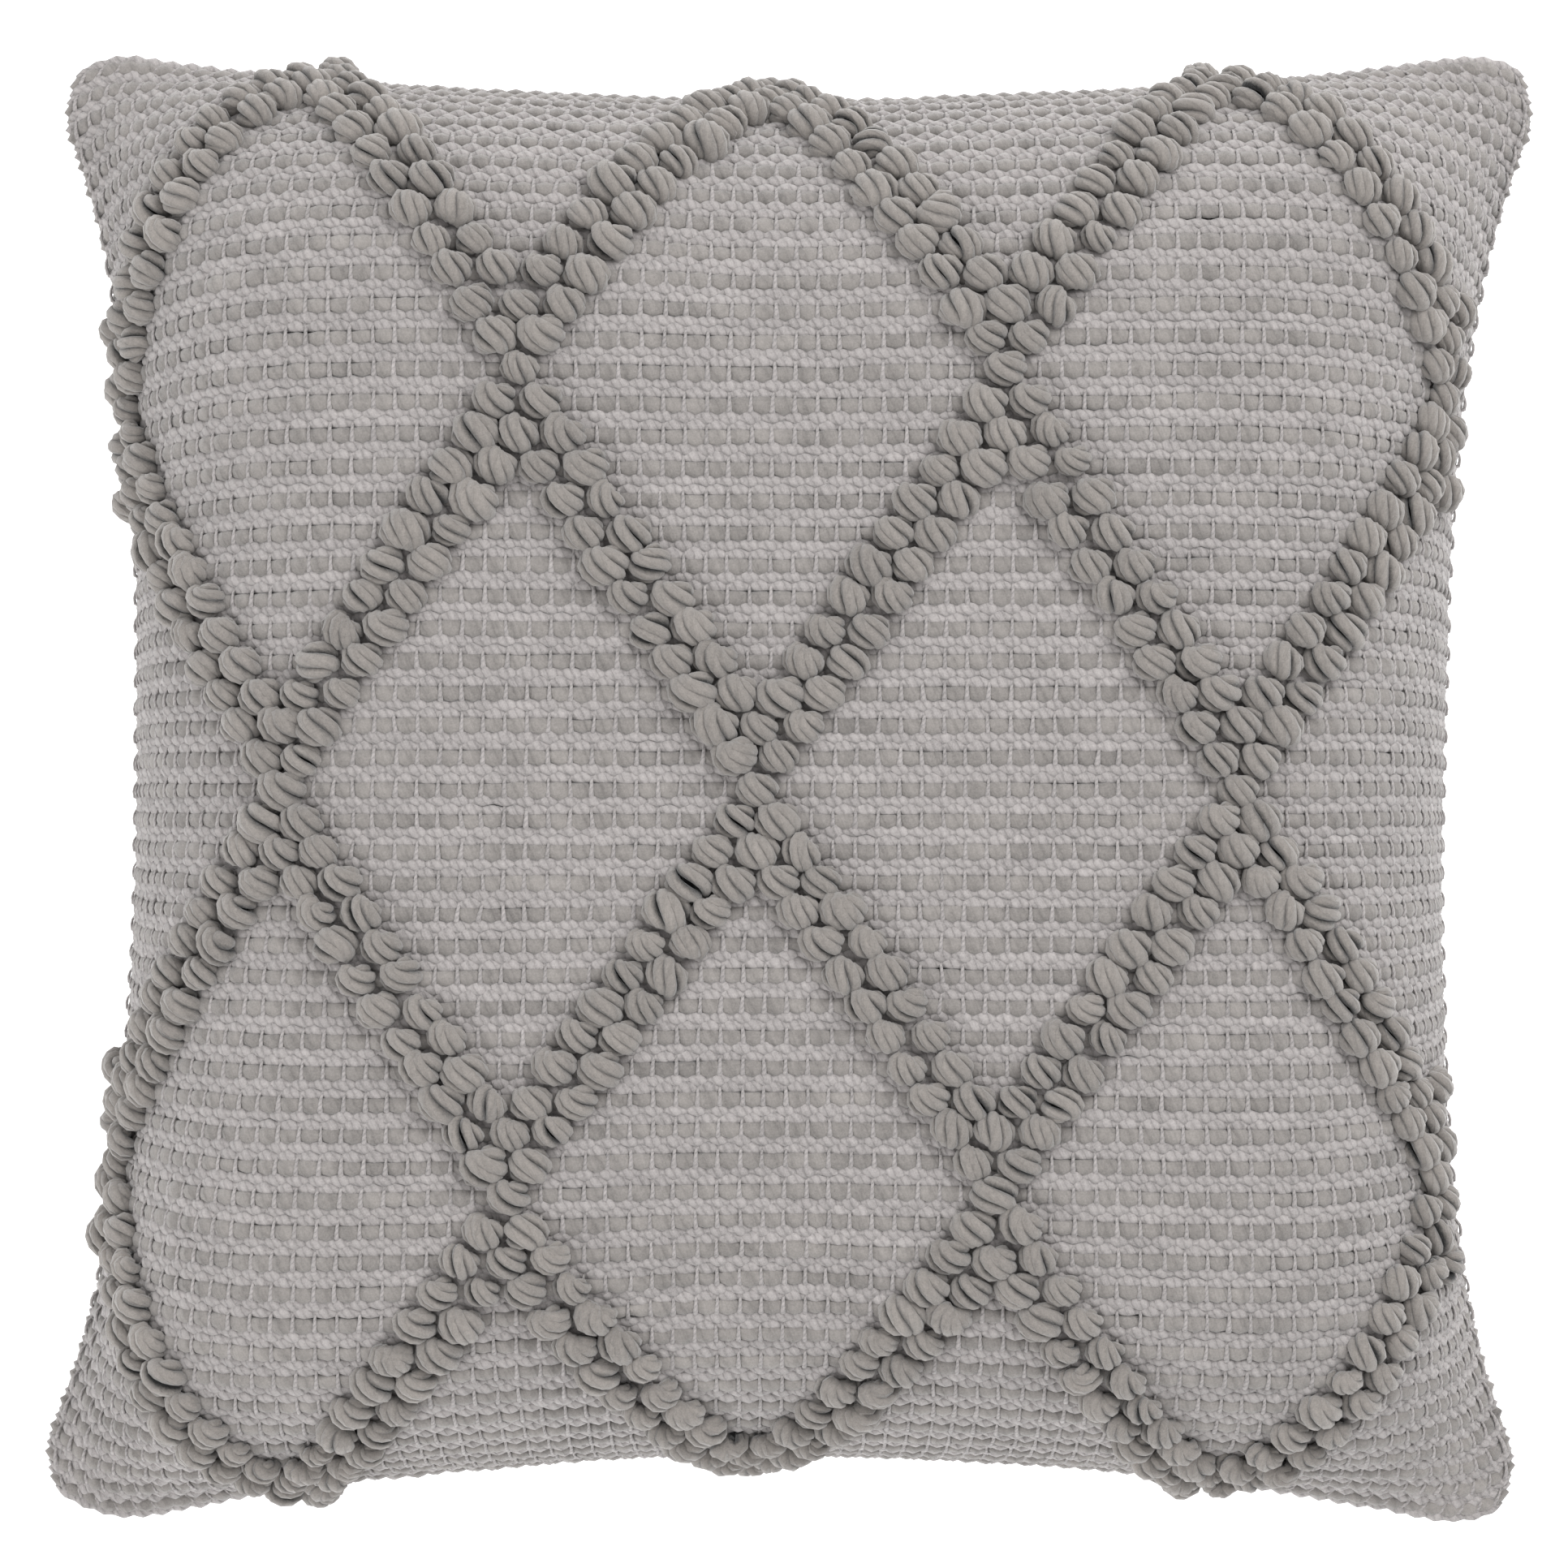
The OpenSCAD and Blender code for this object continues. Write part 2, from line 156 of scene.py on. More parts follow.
def unit(v):
    return v / np.maximum(np.linalg.norm(v, axis=-1, keepdims=True), 1e-9)


def ease(t):
    """Smooth step from 0 to 1."""
    t = np.clip(t, 0, 1)
    return t * t * (3 - 2 * t)


def zip_frame():
    """Middle of the zipper on the outside of the back cloth, and the cloth's tilt there."""
    v = -1 + 2 * ZIP_DROP / CLOTH_W
    middle = layer(0.0, v, -1)
    up = layer(0.0, v - 0.02, -1) - layer(0.0, v + 0.02, -1)
    return middle, math.atan2(-up[1], up[2])


ZIP_MID, ZIP_TILT = zip_frame()


def zip_point(s, y, inward):
    """Point at distance s along the zipper, y above it and inward of its tapes."""
    r = ZIP_R + inward * math.cos(ZIP_TILT) - y * math.sin(ZIP_TILT)
    from_axis = ZIP_R - TAPE_IN * math.cos(ZIP_TILT)
    x_out = ZIP_MID[0] + r * np.sin(s / ZIP_R)
    y_out = ZIP_MID[1] - from_axis + r * np.cos(s / ZIP_R)
    z_out = ZIP_MID[2] + (TAPE_IN + inward) * math.sin(ZIP_TILT) + y * math.cos(ZIP_TILT)
    return np.stack([x_out, y_out, z_out], -1)


def zip_hold(s, y):
    """Share by which the back cloth is held to the zipper."""
    along = ease((ZIP_LEN / 2 + END_REACH - np.abs(s)) / END_FADE)
    above = ease((ZIP_DROP - y) / TOP_FADE)
    below = ease((LOW_REACH + y) / LOW_FADE)
    return along * np.where(y > 0, above, below)


def puckers(u, v):
    """Small gathers across the seam, where the heavier front cloth takes up the back cloth, and
    longer folds that fan out of each corner."""
    to_side = (1 - np.abs(u)) * CLOTH_W / 2
    to_end = (1 - np.abs(v)) * CLOTH_W / 2
    gap = np.minimum(to_side, to_end)
    along = np.where(to_side < to_end, v, u) * CLOTH_W / 2
    gather = np.sin(along / 3.4 + 1.3 * np.sin(along / 17)) + 0.6 * np.sin(along / 5.7 + 2)
    gather = GATHER * gather * np.exp(-gap / 22) * ease(gap / 5)
    away = np.hypot(to_side, to_end)
    turn = np.arctan2(to_end, to_side) + 0.4 * np.sign(u) + 0.9 * np.sign(v)
    fan = FAN * np.sin(turn * 13 + away / 40) * np.exp(-(((away - 62) / 34) ** 2)) * ease(gap / 8)
    outward = unit(np.stack([np.sign(u) * np.exp(-to_side / 25), np.sign(v) * np.exp(-to_end / 25),
                             np.full_like(gap, -0.02) - 0.3 * np.exp(-gap / 25)], -1))
    return outward * (gather + fan)[..., None]


def back_layer(u, v, depth, lift):
    """Points of the back cloth, which lies flat along the zipper."""
    points = layer(u, v, -1, depth, depth, lift) + fold_at(-1, u, v)
    points[..., 2] = np.maximum(points[..., 2], depth)
    points = points + puckers(u, v)
    s = points[..., 0] - ZIP_MID[0]
    y = ZIP_DROP - (v + 1) * CLOTH_W / 2
    return mix(points, zip_point(s, y, depth - TAPE_IN), zip_hold(s, y)[..., None])


# ---------------------------------------------------------------- mesh helpers

def make_mesh(name, points, faces, uv=None, tone_and_shade=None):
    """A mesh object from points in millimetres and a list of index arrays, one per face size."""
    points = np.asarray(points, np.float32).reshape(-1, 3) * MM
    sizes = np.concatenate([np.full(len(f), f.shape[1]) for f in faces])
    corners = np.concatenate([f.reshape(-1) for f in faces]).astype(np.int32)
    mesh = bpy.data.meshes.new(name)
    mesh.vertices.add(len(points))
    mesh.vertices.foreach_set("co", points.reshape(-1))
    mesh.loops.add(len(corners))
    mesh.loops.foreach_set("vertex_index", corners)
    mesh.polygons.add(len(sizes))
    starts = np.concatenate([[0], np.cumsum(sizes)[:-1]]).astype(np.int32)
    mesh.polygons.foreach_set("loop_start", starts)
    mesh.update(calc_edges=True)
    mesh.validate()
    mesh.polygons.foreach_set("use_smooth", np.ones(len(mesh.polygons), bool))
    if uv is not None:
        uvs = mesh.uv_layers.new(name="along")
        flat_uv = np.concatenate([f.reshape(-1, 2) for f in uv]).astype(np.float32)
        uvs.data.foreach_set("uv", flat_uv.reshape(-1))
    if tone_and_shade is not None:
        attribute = mesh.attributes.new("tone_and_shade", "FLOAT", "POINT")
        attribute.data.foreach_set("value", np.asarray(tone_and_shade, np.float32).reshape(-1))
    obj = bpy.data.objects.new(name, mesh)
    bpy.context.scene.collection.objects.link(obj)
    return obj


def tubes(name, path, normal, wide, high, sides, tone_and_shade, painted_crease_shade):
    """Closed tubes along path (n, k, 3). wide is the radius across normal, high the one along it.
    The flanks are painted darker than the top, a painted shade where yarns press together."""
    n, k = path.shape[:2]
    tangent = unit(np.gradient(path, axis=1))
    across = unit(np.cross(tangent, normal))
    normal = np.cross(across, tangent)
    angle = 2 * np.pi * np.arange(sides) / sides
    c, s = np.cos(angle), np.sin(angle)
    wide = np.broadcast_to(wide, (n, k))[..., None, None]
    high = np.broadcast_to(high, (n, k))[..., None, None]
    points = (path[:, :, None] + across[:, :, None] * c[:, None] * wide
              + normal[:, :, None] * s[:, None] * high)
    index = np.arange(n * k * sides).reshape(n, k, sides)
    after = np.roll(index, -1, axis=2)
    quads = np.stack([index[:, :-1], after[:, :-1], after[:, 1:], index[:, 1:]], -1).reshape(-1, 4)
    caps = np.concatenate([index[:, 0, ::-1], index[:, -1]])
    length = np.linalg.norm(np.diff(path, axis=1), axis=-1)
    run = np.concatenate([np.zeros((n, 1)), np.cumsum(length, 1)], 1)
    along = np.broadcast_to(run[..., None], index.shape)
    turn = np.broadcast_to(np.arange(sides) / sides, index.shape)
    uv = np.stack([np.stack([along[:, :-1], turn[:, :-1]], -1),
                   np.stack([along[:, :-1], turn[:, :-1] + 1 / sides], -1),
                   np.stack([along[:, 1:], turn[:, 1:] + 1 / sides], -1),
                   np.stack([along[:, 1:], turn[:, 1:]], -1)], 3).reshape(-1, 4, 2)
    cap_uv = np.zeros((len(caps), sides, 2))
    # Painted shade: each tube's flanks are darkened, as if shaded by the yarns beside them
    tone_and_shade = np.broadcast_to(tone_and_shade, (n, k))[..., None] + painted_crease_shade * np.minimum(0, s - 0.75)
    return make_mesh(name, points, [quads, caps], [uv, cap_uv], tone_and_shade)


def wobble(rng, n, k, every, size):
    """n smooth random curves of k samples, with a new random value about every so many samples."""
    knots = rng.normal(0, size, (n, int(k / every) + 3))
    at = np.linspace(0, knots.shape[1] - 1.001, k)
    i = at.astype(int)
    t = at - i
    t = ease(t)
    return knots[:, i] * (1 - t) + knots[:, i + 1] * t


# ---------------------------------------------------------------- settling the cloth

def settle(cells=40, frames=20, front_cap=1.6, back_cap=5.0):
    """Simulates the two sewn flat sheets under pressure from the stuffed shape. Returns the folds
    that form, (front, back), as grids of movement with the overall growth taken out."""
    n = cells + 1
    v, u = np.meshgrid(np.linspace(-1, 1, n), np.linspace(-1, 1, n), indexing="ij")
    start = np.stack([layer(u, v, 1, lift=0), layer(u, v, -1, lift=0)])
    flat = np.stack([u * CLOTH_W / 2, v * CLOTH_W / 2, np.full_like(u, SEAM_Z)], -1)
    index = np.arange(n * n).reshape(n, n)
    back = index.copy()
    back[1:-1, 1:-1] = n * n + np.arange((n - 2) ** 2).reshape(n - 2, n - 2)
    inner = (slice(1, -1), slice(1, -1))
    points = np.concatenate([start[0].reshape(-1, 3), start[1][inner].reshape(-1, 3)])
    rest = np.concatenate([flat.reshape(-1, 3), flat[inner].reshape(-1, 3)])

    def quads(i):
        return np.stack([i[:-1, :-1], i[:-1, 1:], i[1:, 1:], i[1:, :-1]], -1).reshape(-1, 4)

    sheet = make_mesh("settling", points, [quads(index), quads(back)[:, ::-1]])
    sheet.shape_key_add(name="stuffed")
    key = sheet.shape_key_add(name="flat")
    key.data.foreach_set("co", (rest * MM).astype(np.float32).reshape(-1))
    cloth = sheet.modifiers.new("cloth", "CLOTH")
    cloth.settings.rest_shape_key = key
    cloth.settings.quality = 6
    cloth.settings.mass = 0.3
    cloth.settings.tension_stiffness = 12
    cloth.settings.compression_stiffness = 6
    cloth.settings.bending_stiffness = 0.3
    cloth.settings.use_pressure = True
    cloth.settings.uniform_pressure_force = 4
    cloth.settings.effector_weights.gravity = 0
    cloth.point_cache.frame_end = frames
    scene = bpy.context.scene
    for f in range(1, frames + 1):
        scene.frame_set(f)
    done = sheet.evaluated_get(bpy.context.evaluated_depsgraph_get()).data
    moved = np.empty(len(done.vertices) * 3, np.float32)
    done.vertices.foreach_get("co", moved)
    moved = moved.reshape(-1, 3) / MM - points
    scene.frame_set(1)
    bpy.data.objects.remove(sheet)
    folds = []
    for grid, cap in ((index, front_cap), (back, back_cap)):
        d = moved[grid]
        d = blur(d, 1) - blur(d, 6)
        folds.append(d * cap / (cap + np.linalg.norm(d, axis=-1, keepdims=True)))
    return folds


def blur(grid, times):
    """Averages a grid over five cells each way, so many times."""
    for _ in range(times):
        for axis in (0, 1):
            pad = [(0, 0)] * 3
            pad[axis] = (2, 2)
            g = np.pad(grid, pad, mode="edge")
            n = grid.shape[axis]
            grid = sum(np.take(g, range(k, k + n), axis) for k in range(5)) / 5
    return grid


FOLDS = settle()


def fold_at(side, u, v):
    """Movement of the settled cloth at u, v, smooth between the grid's points."""
    grid = FOLDS[0 if side > 0 else 1]
    n = len(grid) - 1
    x = np.clip((u + 1) / 2 * n, 0, n - 1e-6)
    y = np.clip((v + 1) / 2 * n, 0, n - 1e-6)
    i, j = x.astype(int), y.astype(int)
    tx = ease(x - i)[..., None]
    ty = ease(y - j)[..., None]
    return mix(mix(grid[j, i], grid[j, i + 1], tx), mix(grid[j + 1, i], grid[j + 1, i + 1], tx), ty)


def face(col, row):
    """Points and outward normals of the face at columns and rows."""
    col, row = np.broadcast_arrays(np.asarray(col, float), np.asarray(row, float))

    def point(c, r):
        u = np.clip(2 * c / COLS - 1, -1, 1)
        v = np.clip(1 - 2 * r / ROWS, -1, 1)
        return layer(u, v, 1) + fold_at(1, u, v)

    d = 0.12
    across = point(col + d, row) - point(col - d, row)
    down = point(col, row + d) - point(col, row - d)
    return point(col, row), unit(np.cross(down, across))


# ---------------------------------------------------------------- materials

class Look:
    """A material being built, with helpers that add nodes and join them."""

    def __init__(self, name):
        self.material = bpy.data.materials.new(name)
        self.material.use_nodes = True
        self.nodes = self.material.node_tree.nodes
        self.links = self.material.node_tree.links
        self.shader = self.nodes["Principled BSDF"]

    def join(self, value, socket):
        """Gives a socket a plain value, or links another node's output to it."""
        if isinstance(value, bpy.types.NodeSocket):
            self.links.new(value, socket)
        else:
            socket.default_value = value

    def put(self, inputs):
        """Sets the shader's inputs by name."""
        for name, value in inputs.items():
            self.join(value, self.shader.inputs[name])

    def math(self, operation, *values):
        node = self.nodes.new("ShaderNodeMath")
        node.operation = operation
        for socket, value in zip(node.inputs, values):
            self.join(value, socket)
        return node.outputs[0]

    def vary(self, value, source, middle, amount):
        """value, plus amount times how far source is above its middle."""
        change = self.math("MULTIPLY", self.math("SUBTRACT", source, middle), amount)
        return self.math("ADD", value, change)

    def position(self):
        return self.nodes.new("ShaderNodeTexCoord").outputs["Object"]

    def split(self, vector):
        node = self.nodes.new("ShaderNodeSeparateXYZ")
        self.links.new(vector, node.inputs[0])
        return node.outputs

    def combine(self, *values):
        node = self.nodes.new("ShaderNodeCombineXYZ")
        for socket, value in zip(node.inputs, values):
            self.join(value, socket)
        return node.outputs[0]

    def noise(self, scale, detail, roughness=0.6, vector=None):
        node = self.nodes.new("ShaderNodeTexNoise")
        node.inputs["Scale"].default_value = scale
        node.inputs["Detail"].default_value = detail
        node.inputs["Roughness"].default_value = roughness
        if vector is None:
            vector = self.position()
        self.links.new(vector, node.inputs["Vector"])
        return node.outputs["Fac"]

    def tint(self, colour, value):
        """Makes the base colour from one colour, lighter or darker by value."""
        scale = self.nodes.new("ShaderNodeVectorMath")
        scale.operation = "SCALE"
        scale.inputs[0].default_value = colour
        self.links.new(value, scale.inputs["Scale"])
        self.put({"Base Color": scale.outputs[0]})

    def bump(self, height, strength, distance):
        bump = self.nodes.new("ShaderNodeBump")
        bump.inputs["Strength"].default_value = strength
        bump.inputs["Distance"].default_value = distance
        self.links.new(height, bump.inputs["Height"])
        self.put({"Normal": bump.outputs[0]})


def yarn_material(name, colour, tone_and_shade_depth, plies, pitch, lines, sheen=0.35):
    """Soft spun yarn: twisted plies that run round it once in pitch millimetres, fuzz, and a
    colour that differs from yarn to yarn, with painted shade in the ply grooves and the painted shade that
    each mesh carries on creases and loop feet."""
    look = Look(name)
    uv = look.nodes.new("ShaderNodeUVMap")
    uv.uv_map = "along"
    run, way_round, _ = look.split(uv.outputs[0])
    along = look.math("MULTIPLY", run, 1.0 / pitch)
    turn = look.math("MULTIPLY", way_round, float(plies))
    wander = look.math("MULTIPLY", look.noise(260, 1), 0.5)
    phase = look.math("ADD", look.math("ADD", along, turn), wander)
    wave = look.math("SINE", look.math("MULTIPLY", phase, math.pi))
    groove = look.math("POWER", look.math("ABSOLUTE", wave), 0.6)
    fuzz = look.noise(1900, 5, 0.75)
    lint = look.noise(650, 4, 0.7)
    fibre_run = look.math("MULTIPLY", along, 1.5)
    fibre_round = look.math("MULTIPLY", look.math("ADD", turn, along), 6.0)
    fibres = look.noise(1.0, 2, 0.6, look.combine(fibre_run, fibre_round))
    tone_and_shade = look.nodes.new("ShaderNodeAttribute")
    tone_and_shade.attribute_name = "tone_and_shade"
    value = look.vary(1.0, fuzz, 0.5, 1.0)
    value = look.vary(value, lint, 0.5, 0.6)
    # Painted shade: darker in the grooves between plies and a little lighter on their crowns
    value = look.vary(value, groove, 0.8, lines)
    value = look.vary(value, fibres, 0.5, 0.5)
    # The per-point value holds random colour from yarn to yarn plus the painted shade of creases and loop
    # feet
    value = look.vary(value, tone_and_shade.outputs["Fac"], 0.0, tone_and_shade_depth)
    look.tint(colour, value)
    height = look.math("ADD", look.math("MULTIPLY", groove, 0.55), look.math("MULTIPLY", fuzz, 0.5))
    look.bump(height, 0.8, 0.0006)
    look.put({"Roughness": 0.95, "Specular IOR Level": 0.15, "Sheen Weight": sheen, "Sheen Roughness": 0.6})
    return look.material


def woven_material(name, colour, thread=0.9, sheen=0.25, depth=0.00025):
    """Plain weave of fine threads, made from position so that it needs no UV map."""
    look = Look(name)
    x, y, z = look.split(look.position())
    threads = math.pi / (thread * MM)
    rise = look.math("ADD", y, z)
    wave_x = look.math("SINE", look.math("MULTIPLY", x, threads))
    wave_y = look.math("SINE", look.math("MULTIPLY", rise, threads))
    weave = look.math("MULTIPLY", wave_x, wave_y)
    slub = look.noise(90, 4, 0.7)
    fuzz = look.noise(1500, 4, 0.7)
    value = look.vary(1.0, weave, 0.0, 0.05)
    value = look.vary(value, slub, 0.5, 0.25)
    value = look.vary(value, fuzz, 0.5, 0.2)
    look.tint(colour, value)
    height = look.math("ADD", weave, look.math("MULTIPLY", fuzz, 0.8))
    look.bump(height, 0.6, depth)
    look.put({"Roughness": 0.92, "Specular IOR Level": 0.15, "Sheen Weight": sheen})
    return look.material


def hard_material(name, colour, metallic, roughness):
    """Moulded resin or lacquered metal, with a fine grain and wear in its gloss."""
    look = Look(name)
    wear = look.noise(400, 4, 0.65)
    look.tint(colour, look.vary(0.88, wear, 0.0, 0.24))
    look.bump(wear, 0.15, 0.0001)
    look.put({"Roughness": look.vary(roughness - 0.08, wear, 0.0, 0.16), "Metallic": metallic})
    return look.material


def floor_material():
    look = Look("floor")
    shade = look.vary(0.86, look.noise(3, 2), 0.0, 0.04)
    look.put({"Base Color": look.combine(shade, shade, shade), "Roughness": 0.9,
              "Emission Color": (1, 1, 1, 1), "Emission Strength": 0.45})
    return look.material


def set_material(obj, material):
    """Makes one material the only one that a piece has."""
    obj.data.materials.clear()
    obj.data.materials.append(material)


def dress(obj, material, node):
    """Gives a piece of the cover its material, hangs it on the cover's body and hides the CAD node that it
    stands for.
    """
    set_material(obj, material)
    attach(obj, "cover")
    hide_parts(node)


# ---------------------------------------------------------------- the woven face

# The three wefts of a row: their place in it, half width and half height, level above the cloth,
# and how far they swing and pinch at the bars
WEFTS = {
    "cord": dict(at=0.5, wide=2.5, high=1.7, level=0.0, swing=-0.35, pinch=0.28),
    "over": dict(at=0.85, wide=1.9, high=1.25, level=-0.1, swing=0.5, pinch=-0.22),
    "under": dict(at=0.14, wide=1.85, high=1.2, level=-0.15, swing=-0.5, pinch=0.22)}

# Height and width of a warp yarn at points of a row: over the cord, then under the weft
BAR_COURSE = [(0.13, 0.3, 0.7), (0.32, 1.25, 0.75), (0.5, 1.5, 0.95), (0.69, 1.3, 1.15), (0.86, -1.1, 1.0)]
GROUND_COURSE = [(0.13, -1.9, 1), (0.5, -2.3, 1), (0.74, -1.2, 1), (0.86, 0.05, 1), (0.98, -1.2, 1)]

# How the yarns are flattened and sunk as they reach the seam, in columns or rows and millimetres
SEAM_REACH = 0.9
SEAM_SINK = 0.8
WEFT_SQUASH = 0.45
WARP_SQUASH = 0.3

# Random difference in colour from yarn to yarn, and the painted shade on the flanks where yarns press
# together
TONE_SPREAD = 0.8
WEFT_CREASE_SHADE = 2.5
WARP_CREASE_SHADE = 1.5


def tuck(path, normal, inward=4.0):
    """Adds a point at each end that turns the yarn into the seam."""
    ends = []
    for end in (0, -1):
        p = path[:, end]
        flat = p * [1, 1, 0]
        ends.append((p - unit(flat) * inward - normal[:, end] * 2.0)[:, None])
    path = np.concatenate([ends[0], path, ends[1]], 1)
    normal = np.concatenate([normal[:, :1], normal, normal[:, -1:]], 1)
    return path, normal


def stretch(a, k):
    """Repeats a curve's first and last value for the points that tuck adds."""
    a = np.broadcast_to(a, (a.shape[0], k))
    return np.concatenate([a[:, :1], a, a[:, -1:]], 1)


def weft(name, rows, at, wide, high, level, swing, pinch, per_col=4):
    """One yarn in each of the rows. It lies level above the cloth at the bars and swings over or
    under between them."""
    rng = np.random.default_rng(SEED + int(at * 100) + int(rows[0]))
    n, k = len(rows), COLS * per_col + 1
    col = np.linspace(0, COLS, k)
    bar = np.cos(2 * np.pi * (col - 0.5))
    row = rows[:, None] + at + wobble(rng, n, k, per_col * 3, 0.018)
    row = np.clip(row, 0.05, ROWS - 0.05)
    point, normal = face(np.broadcast_to(col, row.shape), row)
    pressed = np.exp(-np.minimum(col, COLS - col) / SEAM_REACH)
    plump = (1 + wobble(rng, n, k, per_col * 1.3, 0.08)) * (1 - WEFT_SQUASH * pressed)
    lift = level + swing * bar + wobble(rng, n, k, per_col, 0.10) - SEAM_SINK * pressed
    path, normal = tuck(point + normal * lift[..., None], normal)
    wide = stretch((wide - pinch * bar) * plump, k)
    high = stretch((high - pinch * 0.5 * bar) * plump, k)
    tone_and_shade = stretch(wobble(rng, n, k, per_col * 2, TONE_SPREAD), k)
    return tubes(name, path, normal, wide, high, 8, tone_and_shade, painted_crease_shade=WEFT_CREASE_SHADE)


def warp(name, cols, course, wide, high):
    """One yarn at each of the columns. course gives its height and its width at points of a row."""
    rng = np.random.default_rng(SEED + int(cols[0] * 100) + 7)
    steps, heights, widths = np.array(course).T
    row = (np.arange(-1, ROWS + 1)[:, None] + steps).reshape(-1)
    keep = (row > 0.03) & (row < ROWS - 0.03)
    height = np.tile(heights, ROWS + 2)[keep]
    width = np.tile(widths, ROWS + 2)[keep]
    row = row[keep]
    n, k = len(cols), len(row)
    col = cols[:, None] + wobble(rng, n, k, 5, 0.04)
    point, normal = face(col, np.broadcast_to(row, col.shape))
    pressed = np.exp(-np.minimum(row, ROWS - row) / SEAM_REACH)
    lift = height + wobble(rng, n, k, 2, 0.05) - SEAM_SINK * pressed
    path, normal = tuck(point + normal * lift[..., None], normal)
    plump = stretch(width * (1 + wobble(rng, n, k, 4, 0.10)) * (1 - WARP_SQUASH * pressed), k)
    tone_and_shade = stretch(wobble(rng, n, k, 4, TONE_SPREAD), k)
    return tubes(name, path, normal, wide * plump, high * plump, 6, tone_and_shade, painted_crease_shade=WARP_CREASE_SHADE)


def woven_face():
    """Each kind of yarn is made in halves, which keeps every piece light."""
    # The last number of each yarn look sets the painted shade in its ply grooves
    cord = yarn_material("cord yarn", CORD_YARN, 0.10, 1, 5.5, 0.22)
    light = yarn_material("light yarn", LIGHT_YARN, 0.07, 2, 2.6, 0.34)
    bar = yarn_material("bar yarn", LIGHT_YARN, 0.08, 2, 1.6, 0.2)
    for half, rows in zip("ab", np.array_split(np.arange(ROWS), 2)):
        for kind, shape in WEFTS.items():
            yarns = weft(f"weft_{kind}_{half}", rows, **shape)
            dress(yarns, cord if kind == "cord" else light, "front_panel")
    for half, cols in zip("ab", np.array_split(np.arange(COLS), 2)):
        bars = warp(f"warp_bars_{half}", cols + 0.5, BAR_COURSE, 0.72, 0.5)
        dress(bars, bar, "front_panel")
        ground = warp(f"warp_ground_{half}", cols[cols > 0], GROUND_COURSE, 0.6, 0.5)
        dress(ground, light, "front_panel")


# ---------------------------------------------------------------- the looped trellis

# Loops stay between these columns
FIRST_LOOP_COL = 1
LAST_LOOP_COL = COLS - 5

# A loop: it leans about a point PIVOT above the cloth, and its cord is an arch over ARCH_TURN
# radians each way, whose centre is ARCH_LIFT above the cloth
PIVOT = 4.0
ARCH_WIDE = 2.9
ARCH_HIGH = 2.6
ARCH_LIFT = 2.0
ARCH_TURN = 2.1

# The plies of a loop's cord: how far they stand off its middle, up and sideways, their radius,
# their twist along the arch, and the painted shade between them and at the loop's foot
PLIES = 5
PLY_UP = 2.5
PLY_SIDE = 3.7
PLY_R = 2.02
PLY_TWIST = -1.30
PLY_CREASE_SHADE = 20.0
FOOT_SHADE = 6.0


def line_offset(row):
    """Columns by which a trellis line stands off its turning point in a row."""
    k = abs(row - ROW_PERIOD * round(row / ROW_PERIOD))
    return min(HALF_PERIOD, max(0, k - 1))


def loop_cols(m, side, row):
    """Columns of one line's loops in a row: two, or one in the row of a crossing. Where lines
    meet, the right-hand one gives way."""
    d = line_offset(row)
    c = (COLS - 1) / 2 + TRELLIS_SHIFT + 2 * HALF_PERIOD * m + side * d
    meet = d if side > 0 else HALF_PERIOD - d
    if meet == 0:
        return []
    if row % (ROW_PERIOD // 2) == 0:
        return [c]
    return [c + 1] if meet == 1 else [c - 1, c + 1]


def loop_places(m, side):
    """(column, row) of the middle of each loop of one line."""
    return [(c + 0.5, r + 0.5) for r in range(ROWS) for c in loop_cols(m, side, r)
            if FIRST_LOOP_COL < c < LAST_LOOP_COL]


def turned(x, y, angle):
    """Two axes turned about the third by an angle."""
    c, s = np.cos(angle)[..., None], np.sin(angle)[..., None]
    return x * c + y * s, y * c - x * s


def loop_stance(rng, places):
    """Foot of each loop and its own axes, along the row, across it and outward, each turned and
    leaned a little by chance."""
    n = len(places)
    foot, up = face(places[:, 0], places[:, 1])
    ahead, _ = face(places[:, 0] + 0.3, places[:, 1])
    ex = unit(ahead - foot)
    ex, ey = turned(ex, np.cross(up, ex), rng.normal(-0.15, 0.25, n))
    ex, ez = turned(ex, up, rng.normal(0, 0.12, n))
    ey, ez = turned(ey, ez, rng.normal(0.35, 0.22, n))
    return foot + (up - ez) * PIVOT, ex, ey, ez


